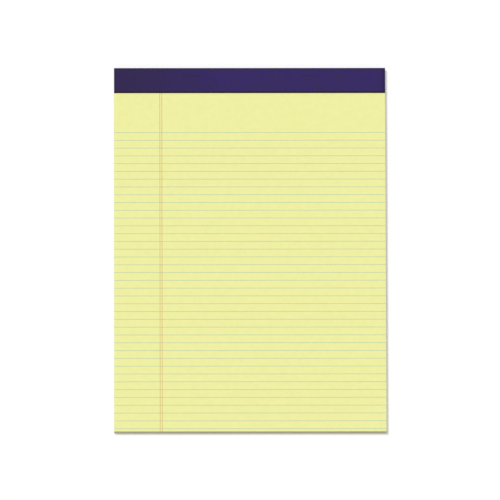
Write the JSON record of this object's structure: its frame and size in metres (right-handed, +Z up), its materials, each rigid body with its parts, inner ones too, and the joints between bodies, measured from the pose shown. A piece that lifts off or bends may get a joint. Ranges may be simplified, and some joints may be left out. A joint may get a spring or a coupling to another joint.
{
  "type": "legal pad",
  "caption": "Writing pad of blue-ruled yellow sheets with a red margin, stapled onto a chipboard backing and bound across its head with a folded strip of dark tape",
  "frame": {"origin": "the middle of the footprint, at the lowest points of the pad as it lies on its back", "axes": "+X across the pad to the writer's right, +Y along the pad towards the bound head, +Z up out of the writing face"},
  "size_m": [0.216, 0.2986, 0.006],
  "materials": {
    "yellow_paper": "matt, uncoated",
    "chipboard": "matt, unbleached",
    "binding_tape": "matt, fine grained",
    "staple_wire": "zinc coated",
    "red_ink": "matt print",
    "blue_ink": "matt print"
  },
  "bodies": {
    "root": {"sheets": "yellow_paper", "backing_board": "chipboard", "binding_tape": "binding_tape", "staple_left": "staple_wire", "staple_right": "staple_wire", "margin_rules": "red_ink", "blue_rules": "blue_ink"}
  },
  "joints": []
}
